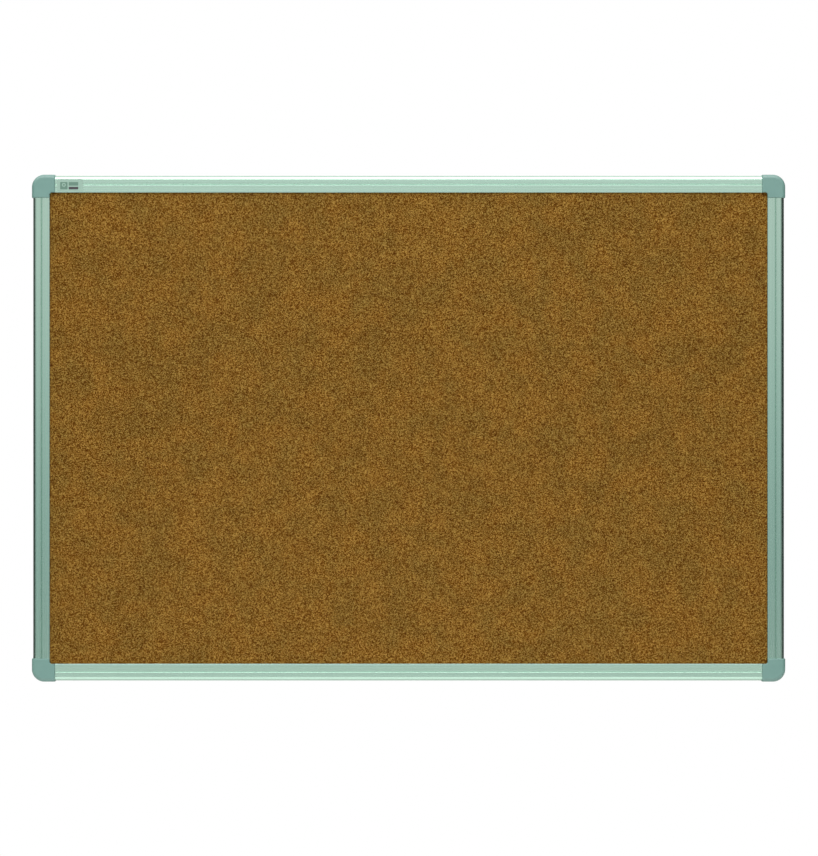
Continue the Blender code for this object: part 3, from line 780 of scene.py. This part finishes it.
def model_cap():
    """The moulded cap of the lower left corner, at the point where the rails' outer lines meet."""
    cap = cap_shell()
    socket = rail_socket()
    for shape in (twin_of(socket), socket):
        combine(cap, shape)
    far = CAP_REACH + SPARE
    panel_low = (TUBE_WIDTH, cork_low.y - GAP, TUBE_WIDTH)
    panel_high = (far, back_high.y + GAP, far)
    combine(cap, start_box(panel_low, panel_high))
    combine(cap, screw_head_pocket())
    entry_depth = KEYHOLE_PLATE + GAP + SPARE
    entry_place = (KEYHOLE_CENTRE, SPARE - entry_depth / 2, KEYHOLE_CENTRE)
    combine(cap, start_round(KEYHOLE_ENTRY / 2, entry_depth, entry_place))
    slot = keyhole_slot()
    for shape in (twin_of(slot), slot):
        combine(cap, shape)
    start = RAIL_START - GAP
    bar = tongue(start - TONGUE_ROOT, TONGUE_END, GAP, TONGUE_LEAD_IN)
    for shape in (twin_of(bar), bar):
        combine(cap, shape, "UNION")
    hollow = tongue(start, TONGUE_END + SPARE, GAP + TONGUE_WALL, 0.0)
    for shape in (twin_of(hollow), hollow):
        combine(cap, shape)
    hole = screw_blank(SCREW_HOLE_GAP)
    screw_at = HALF_WIDTH - SCREW_FROM_MIDDLE["long"]
    turn_and_place(hole, 0, (screw_at, RAIL_BACK, TUBE_WIDTH / 2))
    for shape in (twin_of(hole), hole):
        combine(cap, shape)
    return cap


def add_caps(material):
    """The four corner caps, from one mould."""
    master = model_cap()
    corners = (("bottom_left", -1, -1), ("bottom_right", 1, -1),
               ("top_right", 1, 1), ("top_left", -1, 1))
    for quarter, (corner, across, up) in enumerate(corners):
        cap = copy_of(master)
        turn_and_place(cap, quarter, (across * HALF_WIDTH, 0.0, up * HALF_HEIGHT))
        smooth(cap)
        finished(cap, f"{corner}_cap", material, "moulded_plastic", f"corner_cap_{corner}")
    bpy.data.objects.remove(master)


# ---------------------------------------------------------------- panel

def add_cork(material):
    """The cork sheet: its sanded face waves very slightly."""
    width = cork_high.x - cork_low.x
    height = cork_high.z - cork_low.z
    flat_edge = cork_high.y - cork_low.y - CORK_SWELL
    bpy.ops.object.select_all(action="DESELECT")
    bpy.ops.mesh.primitive_grid_add(
        x_subdivisions=round(width / CORK_CELL), y_subdivisions=round(height / CORK_CELL), size=1.0,
        location=(0.0, cork_low.y + CORK_SWELL, 0.0), rotation=(math.pi / 2, 0.0, 0.0))
    bpy.context.object.scale = (width, height, 1.0)
    cork = settle(bpy.context.object)
    waves = bpy.data.textures.new("cork_waves", "CLOUDS")
    waves.noise_scale = CORK_WAVE
    use_modifier(cork, "DISPLACE", texture=waves, texture_coords="LOCAL",
                 strength=CORK_SWELL, mid_level=0.5)
    edit(cork)
    bpy.ops.mesh.select_mode(type="EDGE")
    bpy.ops.mesh.select_all(action="DESELECT")
    bpy.ops.mesh.select_non_manifold()
    bpy.ops.mesh.extrude_edges_move(TRANSFORM_OT_translate={"value": (0.0, flat_edge, 0.0)})
    bpy.ops.transform.resize(value=(1.0, 0.0, 1.0), center_override=(0.0, cork_high.y, 0.0))
    bpy.ops.mesh.edge_face_add()
    leave()
    smooth(cork)
    finished(cork, "cork_pinning_sheet", material, "cork", "cork_sheet")


# ---------------------------------------------------------------- label

def flat_shape(low, high, back, thickness, radius):
    """A thin flat shape facing -Y between two (x, z) corners, with round corners."""
    shape = start_box((low[0], back - thickness, low[1]), (high[0], back, high[1]))
    edit(shape)
    round_edges(lambda corners: not same(corners[0].y, corners[1].y), radius, CORNER_STEPS)
    leave()
    return shape


def pinned_note(left, bottom, size):
    """A plain pictogram of a square note with a pin through its upper half."""
    right = left + size
    top = bottom + size
    note = flat_shape((left, bottom), (right, top), INK_BACK, INK_THICKNESS, NOTE_CORNER)
    pin_x = (left + right) / 2
    pin_z = bottom + size * PIN_HEIGHT
    ring = start_round(size * PIN_RING_RADIUS, 2 * SPARE, (pin_x, INK_BACK, pin_z), steps=PIN_RING_SIDES)
    combine(note, ring)
    pin_place = (pin_x, INK_BACK - INK_THICKNESS / 2, pin_z)
    pin = start_round(size * PIN_RADIUS, INK_THICKNESS, pin_place, steps=PIN_SIDES)
    combine(note, pin, "UNION")
    return note


def add_label(film, green_ink, dark_ink):
    """The sticker beside the upper left cap: a pinned note beside two plain bars, and no lettering."""
    sticker = flat_shape(label_low.xz, label_high.xz, LABEL_BACK, LABEL_THICKNESS, LABEL_CORNER)
    smooth(sticker)
    finished(sticker, "label_film", film, "label", "label")
    left = label_low.x + MARK_LEFT
    bottom = label_low.z + MARK_BOTTOM
    note = pinned_note(left, bottom, MARK_HEIGHT)
    smooth(note)
    finished(note, "label_printed_note", green_ink, "label")
    bar_left = left + MARK_HEIGHT + BAR_GAP
    bars = (
        ("label_printed_upper_bar", green_ink, bottom + BAR_HEIGHT + BAR_GAP, bottom + MARK_HEIGHT),
        ("label_printed_lower_bar", dark_ink, bottom, bottom + BAR_HEIGHT))
    for name, ink, low, high in bars:
        bar_right = left + MARK_WIDTH
        bar = flat_shape((bar_left, low), (bar_right, high), INK_BACK, INK_THICKNESS, NOTE_CORNER)
        smooth(bar)
        finished(bar, name, ink, "label")


# ---------------------------------------------------------------- studio

EVEN = "#FFF3F1"
COOL = "#F2FFFF"

# Elevation in degrees, brightness and tint of the strip of light, from straight down to straight up
STUDIO_LEVELS = (
    (-90.0, 0.6, COOL), (-14.0, 0.50, COOL), (-5.0, 0.40, COOL), (0.0, 0.60, COOL),
    (6.0, 1.05, EVEN), (14.0, 0.68, EVEN), (28.0, 0.95, EVEN), (40.0, 2.5, EVEN), (60.0, 2.5, EVEN),
    (90.0, 1.3, EVEN))

# How far left of the board's middle the strip lies, where it fades to its sides and its rear,
# and how bright they are next to it
STRIP_LEFT = 0.08
STRIP_EDGE = (0.50, 0.90)
SIDE_SHARE = 0.05
REAR_EDGE = (-0.1, 0.4)
REAR_SHARE = 0.45

# Name, place, width, height and power in watts of each light panel
PANELS = (
    ("overhead_softbox", (0.0, -0.8, 1.25), 1.6, 0.6, 7.5),
    ("low_fill", (0.0, -0.6, -0.9), 1.6, 0.5, 1.9),
    ("rear_softbox", (0.0, 1.5, 0.45), 2.0, 0.9, 8.0),
)
FLOOR_PLACE = (0.0, -2.5, -1.3)
FLOOR_SIZE = (12.0, 8.0)

# The camera's distance, what it sees at that distance from top to bottom, and its place off the middle
CAMERA_DISTANCE = 2.6
SEEN_HEIGHT = 1.0265
SENSOR = 36.0
CAMERA_ASIDE = 0.5 * MM
CAMERA_UP = 0.2 * MM


def add_world():
    """Soft studio surroundings, white to the camera.

    A broad strip of light runs over the board from front to back. It is brightest half way up, mid
    grey at eye level and dimmer below, and what lies to the left, right and rear is dimmer still.
    """
    world = bpy.data.worlds.new("soft_studio")
    bpy.context.scene.world = world
    world.use_nodes = True
    tree = world.node_tree
    tree.nodes.clear()
    ray = add(tree, "ShaderNodeTexCoord").outputs["Generated"]
    parts = add(tree, "ShaderNodeSeparateXYZ", {}, {"Vector": ray})
    height = add(tree, "ShaderNodeMapRange", {}, {"Value": parts.outputs["Z"], "From Min": -1.0})
    ramp = add(tree, "ShaderNodeValToRGB", {}, {"Fac": height.outputs["Result"]})
    band = ramp.color_ramp
    brightest = max(level for _, level, _ in STUDIO_LEVELS)
    for stop, (elevation, level, tint) in enumerate(STUDIO_LEVELS):
        element = band.elements[stop] if stop < 2 else band.elements.new(1.0)
        element.position = (math.sin(math.radians(elevation)) + 1) / 2
        element.color = (*(part * level / brightest for part in colour(tint)[:3]), 1.0)
    aside = add(tree, "ShaderNodeMath", {}, {0: parts.outputs["X"], 1: STRIP_LEFT})
    sideways = add(tree, "ShaderNodeMath", {"operation": "ABSOLUTE"}, {0: aside.outputs[0]})
    strip = add(tree, "ShaderNodeMapRange", {"interpolation_type": "SMOOTHSTEP"},
                {"Value": sideways.outputs[0], "From Min": STRIP_EDGE[0], "From Max": STRIP_EDGE[1],
                 "To Min": brightest, "To Max": brightest * SIDE_SHARE})
    front = add(tree, "ShaderNodeMapRange", {"interpolation_type": "SMOOTHSTEP"},
                {"Value": parts.outputs["Y"], "From Min": REAR_EDGE[0], "From Max": REAR_EDGE[1],
                 "To Min": 1.0, "To Max": REAR_SHARE})
    share = add(tree, "ShaderNodeMath", {"operation": "MULTIPLY"},
                {0: strip.outputs["Result"], 1: front.outputs["Result"]})
    seen = add(tree, "ShaderNodeLightPath").outputs["Is Camera Ray"]
    surroundings = add(tree, "ShaderNodeBackground", {},
                       {"Color": ramp.outputs["Color"], "Strength": share.outputs[0]})
    white = (1.0, 1.0, 1.0, 1.0)
    backdrop = add(tree, "ShaderNodeBackground", {}, {"Color": white, "Strength": 1.0})
    mixed = add(tree, "ShaderNodeMixShader", {},
                {0: seen, 1: surroundings.outputs[0], 2: backdrop.outputs[0]})
    add(tree, "ShaderNodeOutputWorld", {}, {"Surface": mixed.outputs[0]})


def add_panel_light(name, place, width, height, power):
    """A large soft light panel that faces the board's middle and isn't itself in view."""
    bpy.ops.object.light_add(type="AREA", location=place)
    lamp = bpy.context.object
    lamp.name = name
    lamp.data.shape = "RECTANGLE"
    lamp.data.size = width
    lamp.data.size_y = height
    lamp.data.energy = power
    lamp.visible_camera = False
    lamp.rotation_euler = Vector(place).to_track_quat("Z", "Y").to_euler()


def add_lights():
    """A soft light above and in front of the board, a weak one below and one behind for its back."""
    for panel in PANELS:
        add_panel_light(*panel)


def add_floor(material):
    """A plain pale floor, well below the board, which ends a little way behind the wall plane."""
    bpy.ops.object.select_all(action="DESELECT")
    bpy.ops.mesh.primitive_plane_add(size=1.0, location=FLOOR_PLACE)
    bpy.context.object.scale = (*FLOOR_SIZE, 1.0)
    floor = settle(bpy.context.object)
    floor.name = "floor"
    floor.data.materials.append(material)


def add_camera():
    """Straight in front of the board's middle, far enough back to look square on."""
    rails_widest = RAIL_BACK - RAIL_DEPTH + FACE_ROUND
    bpy.ops.object.camera_add(location=(CAMERA_ASIDE, rails_widest - CAMERA_DISTANCE, CAMERA_UP),
                              rotation=(math.pi / 2, 0.0, 0.0))
    camera = bpy.context.object
    camera.data.sensor_width = SENSOR
    camera.data.lens = SENSOR * CAMERA_DISTANCE / SEEN_HEIGHT
    camera.data.dof.use_dof = False
    bpy.context.scene.camera = camera


# ---------------------------------------------------------------- the board

def build():
    """Model every piece, give the carried-over nodes their looks, and light the scene."""
    bpy.context.scene.view_settings.view_transform = "Standard"
    aluminium = anodised_aluminium()
    steel = zinc_plated_steel()
    add_rails(aluminium)
    add_caps(moulded_abs())
    add_screws(steel)
    add_cork(agglomerated_cork())
    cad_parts["core_board"].data.materials[0] = softboard()
    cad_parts["backing_sheet"].data.materials[0] = hardboard()
    add_label(
        label_film("label_film_polyester", "#8FB3A5", "#9ABEB0", 0.35),
        label_film("label_ink_green", "#5C8274", "#688F80", 0.5),
        label_film("label_ink_dark", "#3C3B41", "#46464C", 0.5))
    add_world()
    add_lights()
    add_floor(studio_floor())
    add_camera()


build()
